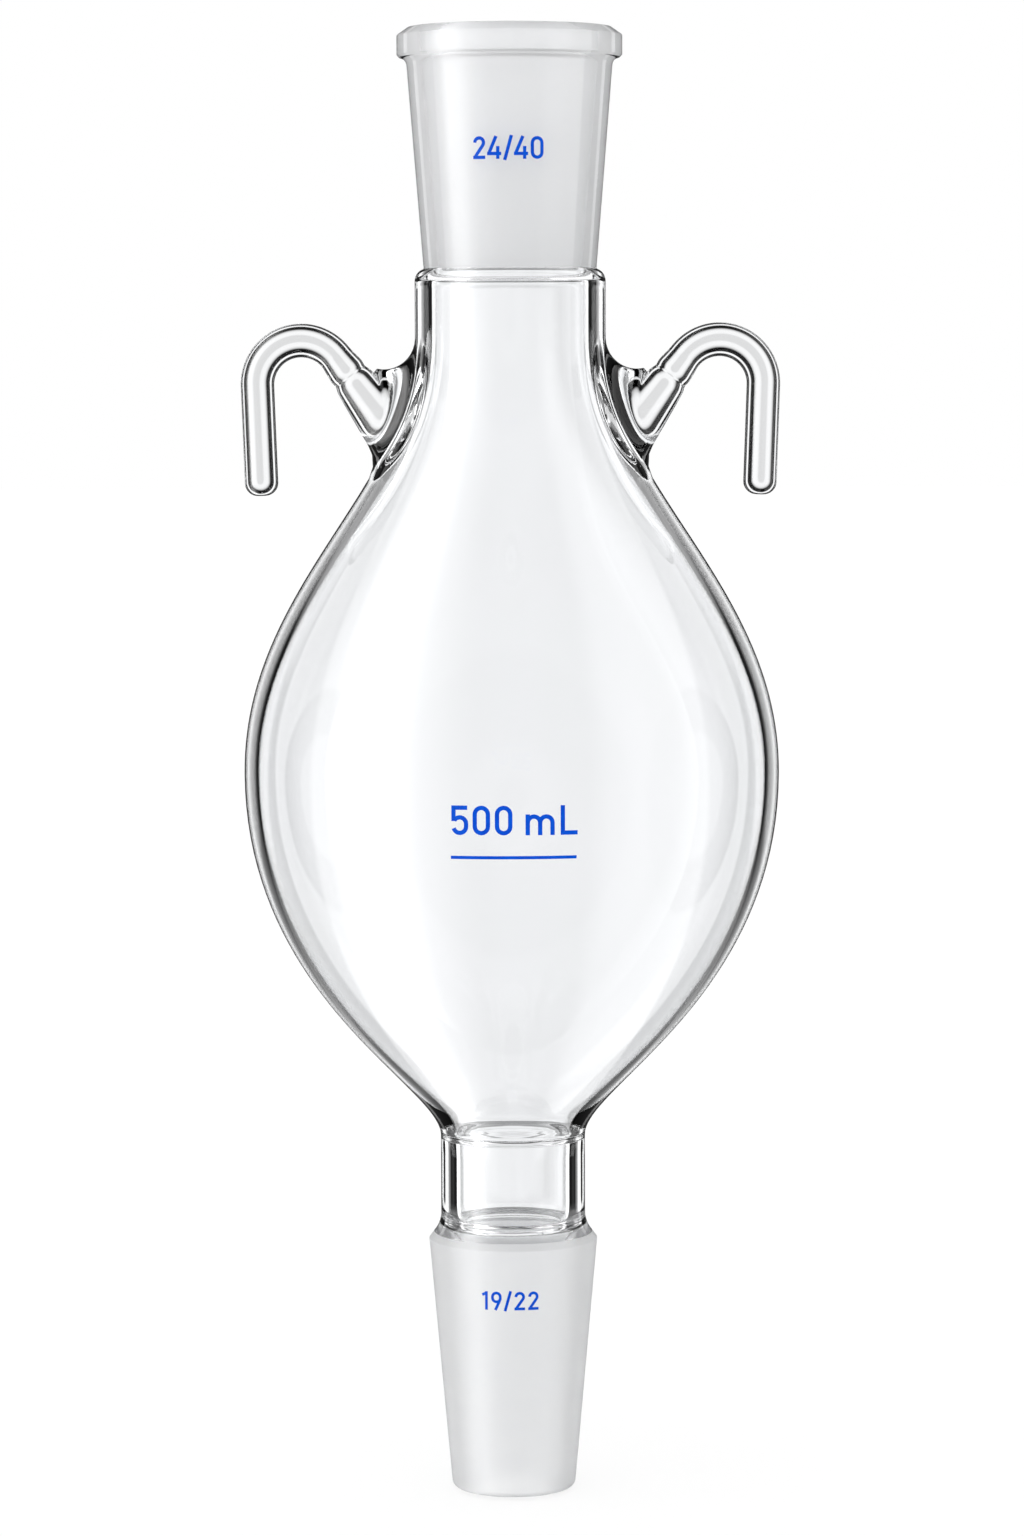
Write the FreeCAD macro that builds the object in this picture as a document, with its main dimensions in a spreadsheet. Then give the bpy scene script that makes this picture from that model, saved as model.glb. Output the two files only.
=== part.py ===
import FreeCAD, Part
import os
import Sketcher

# Kuderna-Danish flask: one blown and fused piece of clear glass, hollow from end to end.
# Millimetres. +Z is up along the flask's axis, and the origin is at the centre of the lower tip.
# The two hooks lie in the XZ plane, one each side.

# Driving sizes

SIZES = {
    # lower joint: a ground cone that widens upward from its tip
    "LowerJointLength": 45.0,
    "LowerJointStep": 2.15,
    "LowerJointTaper": 0.09,
    "LowerJointTipWall": 3.0,
    "LowerJointTopWall": 4.4,
    "LowerTipRound": 1.2,
    "LowerBevelDepth": 0.9,
    "LowerBevelHeight": 1.2,
    "LowerFlareHeight": 3.5,
    # lower neck, with a ring of glass inside at each of its two seals
    "LowerNeckDiameter": 25.7,
    "LowerNeckWall": 3.15,
    "LowerNeckLength": 13.8,
    "LowerRingDepth": 0.9,
    "LowerRingHeight": 2.8,
    "OutletRingDepth": 0.45,
    "OutletRingHeight": 2.4,
    # bulb: two S-shaped flanks that meet at the belly
    "BulbDiameter": 94.7,
    "BulbWall": 2.45,
    "BulbLowerHeight": 65.1,
    "BulbUpperHeight": 76.3,
    "OutletWall": 2.4,
    "LowerNeckEase": 8.9,
    "LowerBellyEase": 40.2,
    "UpperBellyEase": 33.2,
    "UpperNeckEase": 25.6,
    "LowerNeckEaseInset": 1.6,
    "LowerBellyEaseInset": 0.7,
    "UpperBellyEaseInset": 1.5,
    "UpperNeckEaseOutset": 1.0,
    # upper neck and the rounded step under the socket
    "UpperNeckDiameter": 33.6,
    "UpperNeckWall": 3.1,
    "UpperNeckLength": 10.3,
    "ShoulderStep": 1.6,
    "ShoulderHeight": 2.1,
    # upper joint: a ground socket with a collar at its rim
    "SocketLength": 35.4,
    "SocketTaper": 0.08,
    "SocketWall": 2.65,
    "CollarCoveDepth": 1.35,
    "CollarCoveHeight": 1.5,
    "CollarLipDepth": 0.4,
    "CollarLipHeight": 0.45,
    "CollarHeight": 3.4,
    "CollarBevelDepth": 2.0,
    "CollarBevelHeight": 1.4,
    # hooks: a bent glass rod each side, welded to the bulb's shoulder
    "HookRodDiameter": 5.9,
    "HookStandoff": 20.05,
    "HookDrop": 7.8,
    "HookArchRadius": 7.75,
    "HookArmSlope": 53.0,
    "HookLegLength": 19.3,
    "HookLegLean": 2.0,
    "HookTipRound": 2.3,
    "HookRootSpread": 7.0,
    "HookWeldRadius": 5.5,
    # small rounding that the flame leaves on every ground edge
    "EdgeRound": 0.3,
}

document = FreeCAD.newDocument("KudernaDanishFlask")
sheet = document.addObject("Spreadsheet::Sheet", "Sizes")
for row, (alias, value) in enumerate(SIZES.items(), start=1):
    sheet.set(f"A{row}", alias)
    sheet.set(f"B{row}", str(value))
    sheet.setAlias(f"B{row}", alias)
document.recompute()


def sum_of(*terms):
    """A formula in brackets that adds its terms: sizes by name, or other formulas."""
    return "(" + " + ".join(f"Sizes.{term}" if term in SIZES else term for term in terms) + ")"


def less(whole, part):
    """A formula in brackets that takes one size or formula from another."""
    return f"({sum_of(whole)} - {sum_of(part)})"


def half(alias):
    return f"(Sizes.{alias} / 2)"


# Heights above the tip, from bottom to top, and zero for the flask's axis and for the tip itself

AXIS = "0"
BEVEL_TOP = sum_of("LowerJointLength", "LowerBevelHeight")
NECK_START = sum_of(BEVEL_TOP, "LowerFlareHeight")
BULB_START = sum_of(NECK_START, "LowerNeckLength")
BELLY = sum_of(BULB_START, "BulbLowerHeight")
BULB_END = sum_of(BELLY, "BulbUpperHeight")
SHOULDER = sum_of(BULB_END, "UpperNeckLength")
SOCKET_START = sum_of(SHOULDER, "ShoulderHeight")
SOCKET_END = sum_of(SOCKET_START, "SocketLength")
COVE_END = sum_of(SOCKET_END, "CollarCoveHeight")
COLLAR_START = sum_of(COVE_END, "CollarLipHeight")
COLLAR_END = sum_of(COLLAR_START, "CollarHeight")
RIM = sum_of(COLLAR_END, "CollarBevelHeight")
ARCH_HEIGHT = less(BULB_END, "HookDrop")

# Radii of the outside

LOWER_NECK = half("LowerNeckDiameter")
LOWER_JOINT_TOP = sum_of(LOWER_NECK, "LowerJointStep")
LOWER_JOINT_TIP = less(LOWER_JOINT_TOP, "Sizes.LowerJointTaper * Sizes.LowerJointLength")
BELLY_RADIUS = half("BulbDiameter")
UPPER_NECK = half("UpperNeckDiameter")
SOCKET_BOTTOM = less(UPPER_NECK, "ShoulderStep")
SOCKET_TOP = sum_of(SOCKET_BOTTOM, "Sizes.SocketTaper * Sizes.SocketLength")
COVE = sum_of(SOCKET_TOP, "CollarCoveDepth")
COLLAR = sum_of(COVE, "CollarLipDepth")
RIM_EDGE = less(COLLAR, "CollarBevelDepth")
ARCH_REACH = sum_of(UPPER_NECK, "HookStandoff")
ARM_X = f"({ARCH_REACH} - Sizes.HookArchRadius * sin(Sizes.HookArmSlope))"
ARM_Z = f"({ARCH_HEIGHT} + Sizes.HookArchRadius * cos(Sizes.HookArmSlope))"

# Radii of the bore

TIP_BORE = less(LOWER_JOINT_TIP, "LowerJointTipWall")
JOINT_BORE = less(LOWER_JOINT_TOP, "LowerJointTopWall")
LOWER_BORE = less(LOWER_NECK, "LowerNeckWall")
BELLY_BORE = less(BELLY_RADIUS, "BulbWall")
UPPER_BORE = less(UPPER_NECK, "UpperNeckWall")
SOCKET_BORE = less(SOCKET_BOTTOM, "SocketWall")
RIM_BORE = sum_of(SOCKET_BORE, f"Sizes.SocketTaper * {less(RIM, SOCKET_START)}")


def origin_plane(body, role):
    """One of the body's own planes, such as XZ_Plane."""
    return next(feature for feature in body.Origin.OriginFeatures if feature.Role == role)


class Outline:
    """A run of lines, arcs and curves in an upright plane, with every corner placed by formulas."""

    def __init__(self, body, plane, name, x, z):
        self.sketch = body.newObject("Sketcher::SketchObject", name)
        self.sketch.AttachmentSupport = (origin_plane(body, plane), [""])
        self.sketch.MapMode = "FlatFace"
        self.corner = (x, z)
        self.last = None

    def point(self, x, z):
        return FreeCAD.Vector(self.sketch.evalExpression(x), self.sketch.evalExpression(z), 0)

    def hold(self, kind, *points_and_value):
        return self.sketch.addConstraint(Sketcher.Constraint(kind, *points_and_value))

    def fix(self, geometry, end, x, z):
        """Keep one point of the outline at its two formulas."""
        for kind, axis, formula in (("DistanceX", -2, x), ("DistanceY", -1, z)):
            if formula == AXIS:
                self.hold("PointOnObject", geometry, end, axis)
            else:
                limit = self.hold(kind, -1, 1, geometry, end, self.sketch.evalExpression(formula))
                self.sketch.setExpression(f"Constraints[{limit}]", formula)

    def add(self, shape, start, end, x, z):
        """Add a piece that runs on from the last corner to the corner at x, z."""
        geometry = self.sketch.addGeometry(shape, False)
        if self.last is None:
            self.first = (geometry, start)
            self.fix(geometry, start, *self.corner)
        else:
            self.hold("Coincident", *self.last, geometry, start)
        self.fix(geometry, end, x, z)
        self.last = (geometry, end)
        self.corner = (x, z)
        return geometry

    def line(self, x, z):
        self.add(Part.LineSegment(self.point(*self.corner), self.point(x, z)), 1, 2, x, z)

    def bend(self, x, z, centre, radius):
        """An arc to the left of the way it runs, round a centre and with a radius of its own."""
        start, end, middle = self.point(*self.corner), self.point(x, z), self.point(*centre)
        circle = Part.Circle(middle, FreeCAD.Vector(0, 0, 1), (start - middle).Length)
        arc = Part.ArcOfCircle(circle, circle.parameter(start), circle.parameter(end))
        geometry = self.add(arc, 1, 2, x, z)
        limit = self.hold("Radius", geometry, circle.Radius)
        self.sketch.setExpression(f"Constraints[{limit}]", radius)

    def close(self):
        """A straight line back to the first corner."""
        last, first = self.point(*self.corner), self.sketch.getPoint(*self.first)
        geometry = self.sketch.addGeometry(Part.LineSegment(last, first), False)
        self.hold("Coincident", *self.last, geometry, 1)
        self.hold("Coincident", *self.first, geometry, 2)
        return self.sketch

    def curve(self, x, z, handle_from, handle_to):
        """An S-shaped curve that leaves and arrives upright; its handles are two heights."""
        poles = [self.corner, (self.corner[0], handle_from), (x, handle_to), (x, z)]
        curve = Part.BSplineCurve()
        curve.buildFromPolesMultsKnots([self.point(*pole) for pole in poles], [4, 4], [0, 1], False, 3)
        geometry = self.add(curve, 1, 2, x, z)
        self.sketch.exposeInternalGeometry(geometry)
        self.fix(geometry + 2, 3, *poles[1])
        self.fix(geometry + 3, 3, *poles[2])

    def swell(self, x, z):
        """A short curve of the same kind, with both handles half way up."""
        middle = f"({self.corner[1]} + {z}) / 2"
        self.curve(x, z, middle, middle)

    def arc(self, x, z, upright_at_end=False):
        """An arc that is upright at the corner it leaves, or at the one where it arrives."""
        start, end = self.point(*self.corner), self.point(x, z)
        upright, other = (end, start) if upright_at_end else (start, end)
        across, up = other.x - upright.x, other.y - upright.y
        radius = (across**2 + up**2) / (2 * across)
        centre = upright + FreeCAD.Vector(radius, 0, 0)
        circle = Part.Circle(centre, FreeCAD.Vector(0, 0, 1), abs(radius))
        runs_left = (radius > 0) == ((up < 0) != upright_at_end)
        first, second = (start, end) if runs_left else (end, start)
        arc = Part.ArcOfCircle(circle, circle.parameter(first), circle.parameter(second))
        ends = (1, 2) if runs_left else (2, 1)
        geometry = self.add(arc, *ends, x, z)
        self.hold("Horizontal", geometry, 3, geometry, ends[1] if upright_at_end else ends[0])


flask = document.addObject("PartDesign::Body", "Flask")
flask.Label = "flask"


def feature(kind, name, **settings):
    """Add a feature to the flask, set it up and make it the flask's last one."""
    added = flask.newObject(f"PartDesign::{kind}", name)
    for key, value in settings.items():
        setattr(added, key, value)
    flask.Tip = added
    document.recompute()
    return added


def outside_outline():
    """The flask's outside, tip to rim, as a solid of revolution."""
    outline = Outline(flask, "YZ_Plane", "OutsideOutline", AXIS, AXIS)
    outline.line(LOWER_JOINT_TIP, AXIS)
    outline.line(LOWER_JOINT_TOP, "Sizes.LowerJointLength")
    outline.line(less(LOWER_JOINT_TOP, "LowerBevelDepth"), BEVEL_TOP)
    outline.arc(LOWER_NECK, NECK_START, upright_at_end=True)
    outline.line(LOWER_NECK, BULB_START)
    neck_handle, lower_belly_handle = sum_of(BULB_START, "LowerNeckEase"), less(BELLY, "LowerBellyEase")
    outline.curve(BELLY_RADIUS, BELLY, neck_handle, lower_belly_handle)
    upper_belly_handle, upper_handle = sum_of(BELLY, "UpperBellyEase"), less(BULB_END, "UpperNeckEase")
    outline.curve(UPPER_NECK, BULB_END, upper_belly_handle, upper_handle)
    outline.line(UPPER_NECK, SHOULDER)
    outline.arc(SOCKET_BOTTOM, SOCKET_START)
    outline.line(SOCKET_TOP, SOCKET_END)
    outline.arc(COVE, COVE_END)
    outline.line(COLLAR, COLLAR_START)
    outline.line(COLLAR, COLLAR_END)
    outline.line(RIM_EDGE, RIM)
    outline.line(AXIS, RIM)
    return outline.close()


def bore_outline():
    """The hollow from end to end, with a ring of glass standing into it at each seal."""
    ring_middle = sum_of(BEVEL_TOP, half("LowerRingHeight"))
    ring_top = sum_of(BEVEL_TOP, "LowerRingHeight")
    outlet_foot = less(BULB_START, half("OutletRingHeight"))
    outlet_top = sum_of(BULB_START, half("OutletRingHeight"))
    lower_handle = less(sum_of(outlet_top, "LowerNeckEase"), "LowerNeckEaseInset")
    lower_belly_handle = sum_of(less(BELLY, "LowerBellyEase"), "LowerBellyEaseInset")
    upper_belly_handle = less(sum_of(BELLY, "UpperBellyEase"), "UpperBellyEaseInset")
    upper_handle = less(less(BULB_END, "UpperNeckEase"), "UpperNeckEaseOutset")
    outline = Outline(flask, "YZ_Plane", "BoreOutline", AXIS, AXIS)
    outline.line(TIP_BORE, AXIS)
    outline.line(JOINT_BORE, BEVEL_TOP)
    outline.swell(less(LOWER_BORE, "LowerRingDepth"), ring_middle)
    outline.swell(LOWER_BORE, ring_top)
    outline.line(LOWER_BORE, outlet_foot)
    outline.swell(less(LOWER_BORE, "OutletRingDepth"), BULB_START)
    outline.swell(less(LOWER_NECK, "OutletWall"), outlet_top)
    outline.curve(BELLY_BORE, BELLY, lower_handle, lower_belly_handle)
    outline.curve(UPPER_BORE, BULB_END, upper_belly_handle, upper_handle)
    outline.line(UPPER_BORE, SHOULDER)
    outline.swell(SOCKET_BORE, SOCKET_START)
    outline.line(RIM_BORE, RIM)
    outline.line(AXIS, RIM)
    return outline.close()


def rod_path():
    """The middle line of a hook's rod: a straight leg up from the tip, then the arch."""
    lean, slope, radius = "Sizes.HookLegLean", "Sizes.HookArmSlope", "Sizes.HookArchRadius"
    leg_top = (f"{ARCH_REACH} + {radius} * cos({lean})", f"{ARCH_HEIGHT} - {radius} * sin({lean})")
    tip_x = f"{leg_top[0]} - Sizes.HookLegLength * sin({lean})"
    tip_z = f"{leg_top[1]} - Sizes.HookLegLength * cos({lean})"
    path = Outline(flask, "XZ_Plane", "HookPath", tip_x, tip_z)
    path.line(*leg_top)
    path.bend(ARM_X, ARM_Z, (ARCH_REACH, ARCH_HEIGHT), radius)
    return path.sketch


def rod_section(path):
    """The round section of a hook's rod, square to the leg at its tip."""
    section = flask.newObject("Sketcher::SketchObject", "HookSection")
    section.AttachmentSupport = (path, ["Edge1"])
    section.MapMode = "NormalToEdge"
    section.MapPathParameter = 0
    centre = FreeCAD.Vector(0, 0, 0)
    rod = section.evalExpression("Sizes.HookRodDiameter")
    circle = section.addGeometry(Part.Circle(centre, FreeCAD.Vector(0, 0, 1), rod / 2), False)
    section.addConstraint(Sketcher.Constraint("Coincident", circle, 3, -1, 1))
    limit = section.addConstraint(Sketcher.Constraint("Diameter", circle, rod))
    section.setExpression(f"Constraints[{limit}]", "Sizes.HookRodDiameter")
    return section


def arm_outline():
    """Half the section of a hook's arm: it widens from the arch to its foot inside the bulb."""
    slope = "Sizes.HookArmSlope"
    rod = half("HookRodDiameter")
    foot = sum_of(rod, half("HookRootSpread"))
    foot_z = f"{ARM_Z} - {less(ARM_X, UPPER_BORE)} * tan({slope})"
    outline = Outline(flask, "XZ_Plane", "HookArmOutline", ARM_X, ARM_Z)
    outline.line(f"{ARM_X} - {rod} * sin({slope})", f"{ARM_Z} + {rod} * cos({slope})")
    outline.line(f"{UPPER_BORE} - {foot} * sin({slope})", f"{foot_z} + {foot} * cos({slope})")
    outline.line(UPPER_BORE, foot_z)
    return outline.close()


def fillet(name, radius, edges):
    """Round the named edges of the flask's last feature with one of the radii."""
    base = flask.Tip
    rounded = flask.newObject("PartDesign::Fillet", name)
    rounded.Base = (base, edges)
    rounded.setExpression("Radius", f"Sizes.{radius}")
    flask.Tip = rounded
    document.recompute()
    return rounded


def edges_where(wanted):
    """The names of the edges of the flask's last feature that a test picks out."""
    edges = enumerate(flask.Tip.Shape.Edges, start=1)
    return [f"Edge{number}" for number, edge in edges if wanted(edge)]


def on_weld(edge):
    """Where an arm meets the bulb: a free curve that spreads both ways, unlike the flanks' seams."""
    is_curve = edge.Curve.TypeId == "Part::GeomBSplineCurve"
    return is_curve and min(edge.BoundBox.XLength, edge.BoundBox.YLength) > 1


def on_hook_tip(edge):
    """The round edge at the free end of a hook's leg, the only one clear of the flask's axis so low."""
    middle = edge.BoundBox.Center
    below_leg = middle.z < sheet.evalExpression(f"{ARCH_HEIGHT} - Sizes.HookLegLength / 2")
    return below_leg and abs(middle.x) > sheet.evalExpression(UPPER_NECK)


def ring_edges(*corners):
    """The round edges that run about the flask's axis through corners of its outlines."""
    places = [(sheet.evalExpression(radius), sheet.evalExpression(height)) for radius, height in corners]

    def wanted(edge):
        curve = edge.Curve
        if curve.TypeId != "Part::GeomCircle" or abs(curve.Axis.z) < 0.99:
            return False
        gaps = [abs(curve.Radius - radius) + abs(curve.Center.z - height) for radius, height in places]
        return min(gaps) < 0.001

    return edges_where(wanted)


def revolve(kind, name, outline, axis):
    """Turn an outline right round one of its own lines, as glass or as a hollow."""
    document.recompute()
    return feature(kind, name, Profile=(outline, [""]), ReferenceAxis=(outline, [axis]), Angle=360)


revolve("Revolution", "GlassOutside", outside_outline(), "V_Axis")

path = rod_path()
document.recompute()
section = rod_section(path)
rod = feature("AdditivePipe", "HookRod", Profile=(section, [""]), Spine=(path, ["Edge1", "Edge2"]))
arm = revolve("Revolution", "HookArm", arm_outline(), "Edge4")
mirror = (origin_plane(flask, "YZ_Plane"), [""])
feature("Mirrored", "BothHooks", Originals=[rod, arm], MirrorPlane=mirror)
fillet("HookWelds", "HookWeldRadius", edges_where(on_weld))
fillet("HookTips", "HookTipRound", edges_where(on_hook_tip))

revolve("Groove", "Bore", bore_outline(), "V_Axis")
fillet("LowerTipEdge", "LowerTipRound", ring_edges((LOWER_JOINT_TIP, AXIS)))
small_edges = ring_edges(
    (TIP_BORE, AXIS),
    (LOWER_JOINT_TOP, "Sizes.LowerJointLength"),
    (COLLAR, COLLAR_START),
    (COLLAR, COLLAR_END),
    (RIM_EDGE, RIM),
    (RIM_BORE, RIM),
)
fillet("RingEdges", "EdgeRound", small_edges)

failed = [thing.Name for thing in document.Objects if {"Invalid", "Error"} & set(thing.State)]
if failed or flask.Shape.isNull() or not flask.Shape.isValid() or len(flask.Shape.Solids) != 1:
    raise RuntimeError(f"the flask did not build: {failed or 'its shape is not one valid solid'}")

os.makedirs("parts", exist_ok=True)
flask.Shape.exportStep(f"parts/{flask.Label}.step")
box = flask.Shape.BoundBox
print(f"flask: {box.XLength:.1f} x {box.YLength:.1f} x {box.ZLength:.1f} mm")
print(f"glass: {flask.Shape.Volume / 1000:.1f} mL")
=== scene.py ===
# %% [markdown]
# A Kuderna-Danish flask is one piece of clear glass: a ground socket on top, a teardrop bulb
# with a hook on each side of its shoulder, and a ground cone below. This lesson dresses the
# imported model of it. Everything is in metres, with +Z up along the flask's axis.

import math

import bmesh
import bpy
import numpy as np
from mathutils import Matrix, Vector
from mathutils.bvhtree import BVHTree


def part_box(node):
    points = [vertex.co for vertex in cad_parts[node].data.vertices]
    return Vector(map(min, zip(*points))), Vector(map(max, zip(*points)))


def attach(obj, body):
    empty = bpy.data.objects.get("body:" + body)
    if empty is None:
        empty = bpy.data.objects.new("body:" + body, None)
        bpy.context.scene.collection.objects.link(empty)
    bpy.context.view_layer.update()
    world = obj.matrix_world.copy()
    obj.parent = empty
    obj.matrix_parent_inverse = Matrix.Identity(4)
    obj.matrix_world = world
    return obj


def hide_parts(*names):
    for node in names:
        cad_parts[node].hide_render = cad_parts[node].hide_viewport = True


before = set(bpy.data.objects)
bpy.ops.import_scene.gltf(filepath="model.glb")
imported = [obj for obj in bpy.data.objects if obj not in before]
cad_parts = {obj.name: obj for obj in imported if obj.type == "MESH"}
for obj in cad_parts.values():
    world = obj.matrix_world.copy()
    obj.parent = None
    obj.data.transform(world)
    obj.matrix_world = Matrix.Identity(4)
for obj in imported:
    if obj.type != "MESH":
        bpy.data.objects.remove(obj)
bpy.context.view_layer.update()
flask_low, flask_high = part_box("flask")
print("packed flask, lowest and highest corner:", tuple(flask_low), tuple(flask_high))

# %% [markdown]
# The flask's outline is drawn in millimetres from its real sizes, like a glassblower's drawing.
# These are the sizes that drive it. Each curve of the outline is worked out from them, so a change
# to one length carries all that stands on it.

# %% Sizes of the flask, in millimetres
MM = 0.001

LOWER_JOINT_LENGTH = 45.0
LOWER_JOINT_STEP = 2.15
LOWER_JOINT_TAPER = 0.09
LOWER_JOINT_TIP_WALL = 3.0
LOWER_JOINT_TOP_WALL = 4.4
LOWER_TIP_ROUND = 1.2
LOWER_BEVEL_DEPTH = 0.9
LOWER_BEVEL_HEIGHT = 1.2
LOWER_FLARE_HEIGHT = 3.5
LOWER_NECK_RADIUS = 25.7 / 2
LOWER_NECK_WALL = 3.15
LOWER_NECK_LENGTH = 13.8
LOWER_RING_DEPTH = 0.9
LOWER_RING_HEIGHT = 2.8
OUTLET_RING_DEPTH = 0.45
OUTLET_RING_HEIGHT = 1.7

BULB_RADIUS = 94.7 / 2
BULB_WALL = 2.45
BULB_LOWER_HEIGHT = 65.1
BULB_UPPER_HEIGHT = 76.3
OUTLET_WALL = 2.4
LOWER_NECK_EASE = 8.9
LOWER_BELLY_EASE = 40.2
UPPER_BELLY_EASE = 33.2
UPPER_NECK_EASE = 25.6
LOWER_NECK_EASE_INSET = 1.6
LOWER_BELLY_EASE_INSET = 0.7
UPPER_BELLY_EASE_INSET = 1.5
UPPER_NECK_EASE_OUTSET = 1.0

UPPER_NECK_RADIUS = 33.6 / 2
UPPER_NECK_WALL = 3.1
UPPER_NECK_LENGTH = 10.3
SHOULDER_STEP = 1.6
SHOULDER_HEIGHT = 2.1
LEDGE_HEIGHT = 0.8
LEDGE_LIP = 0.35
SOCKET_LENGTH = 35.4
SOCKET_TAPER = 0.08
SOCKET_WALL = 2.65
COVE_DEPTH = 1.35
COVE_HEIGHT = 1.5
COLLAR_LIP_DEPTH = 0.4
COLLAR_LIP_HEIGHT = 0.45
COLLAR_HEIGHT = 3.4
COLLAR_BEVEL_DEPTH = 2.0
COLLAR_BEVEL_HEIGHT = 1.4
EDGE_ROUND = 0.3
RING_OVERLAP = 0.6
NECK_PITCH = 1.3

ROD_RADIUS = 5.9 / 2
HOOK_STANDOFF = 20.05
HOOK_DROP = 7.8
ARCH_RADIUS = 7.75
ARM_SLOPE = math.radians(53)
LEG_LENGTH = 19.3
LEG_LEAN = math.radians(2)
HOOK_TIP_ROUND = 2.3
ARM_ROOT_SPREAD = 7.0
WELD_RADIUS = 5.5

# %% Heights above the tip and radii from the axis
BEVEL_TOP = LOWER_JOINT_LENGTH + LOWER_BEVEL_HEIGHT
NECK_START = BEVEL_TOP + LOWER_FLARE_HEIGHT
BULB_START = NECK_START + LOWER_NECK_LENGTH
BELLY = BULB_START + BULB_LOWER_HEIGHT
BULB_END = BELLY + BULB_UPPER_HEIGHT
SHOULDER = BULB_END + UPPER_NECK_LENGTH
SOCKET_START = SHOULDER + SHOULDER_HEIGHT
SOCKET_END = SOCKET_START + SOCKET_LENGTH
COVE_END = SOCKET_END + COVE_HEIGHT
COLLAR_START = COVE_END + COLLAR_LIP_HEIGHT
COLLAR_END = COLLAR_START + COLLAR_HEIGHT
RIM = COLLAR_END + COLLAR_BEVEL_HEIGHT

JOINT_TOP_RADIUS = LOWER_NECK_RADIUS + LOWER_JOINT_STEP
JOINT_TIP_RADIUS = JOINT_TOP_RADIUS - LOWER_JOINT_TAPER * LOWER_JOINT_LENGTH
SOCKET_FOOT_RADIUS = UPPER_NECK_RADIUS - SHOULDER_STEP
SOCKET_TOP_RADIUS = SOCKET_FOOT_RADIUS + SOCKET_TAPER * SOCKET_LENGTH
COVE_RADIUS = SOCKET_TOP_RADIUS + COVE_DEPTH
COLLAR_RADIUS = COVE_RADIUS + COLLAR_LIP_DEPTH
RIM_RADIUS = COLLAR_RADIUS - COLLAR_BEVEL_DEPTH

TIP_BORE = JOINT_TIP_RADIUS - LOWER_JOINT_TIP_WALL
JOINT_BORE = JOINT_TOP_RADIUS - LOWER_JOINT_TOP_WALL
LOWER_BORE = LOWER_NECK_RADIUS - LOWER_NECK_WALL
BELLY_BORE = BULB_RADIUS - BULB_WALL
UPPER_BORE = UPPER_NECK_RADIUS - UPPER_NECK_WALL
SOCKET_BORE = SOCKET_FOOT_RADIUS - SOCKET_WALL
RIM_BORE = SOCKET_BORE + SOCKET_TAPER * (RIM - SOCKET_START)
print(f"rim {RIM:.2f} mm above the tip, belly {BULB_RADIUS:.2f} mm from the axis")

# %% [markdown]
# The camera looks straight at the flask from a little above its middle, through a long lens, so
# the sides stay almost parallel and the round edges show as thin ellipses.

# %% Camera
CAMERA_DISTANCE = 0.887
CAMERA_HEIGHT = 0.2052
CAMERA_DIP = math.radians(4.90)
CAMERA_ROLL = math.radians(-0.19)
CAMERA_SIDE = 0.00005
LENS_PIXELS = 5017
PICTURE_HEIGHT = 1536
SENSOR = 36.0

camera_data = bpy.data.cameras.new("camera")
camera = bpy.data.objects.new("camera", camera_data)
bpy.context.scene.collection.objects.link(camera)
camera_data.sensor_fit = "VERTICAL"
camera_data.sensor_height = SENSOR
camera_data.sensor_width = SENSOR
camera_data.lens = LENS_PIXELS * SENSOR / PICTURE_HEIGHT
camera_data.clip_start = 0.01
camera.matrix_world = (
    Matrix.Translation((CAMERA_SIDE, -CAMERA_DISTANCE, CAMERA_HEIGHT))
    @ Matrix.Rotation(math.pi / 2 - CAMERA_DIP, 4, "X")
    @ Matrix.Rotation(CAMERA_ROLL, 4, "Z")
)
bpy.context.scene.camera = camera
print(f"lens {camera_data.lens:.1f} mm")

# %% [markdown]
# An outline is a list of points from the bottom up, each with the finish of the glass between it
# and the next. Corners that the flame has softened are rounded as the outline is drawn.

# %% A pen for outlines
CLEAR, SOCKET_GROUND, CONE_GROUND = 0, 1, 2


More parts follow.
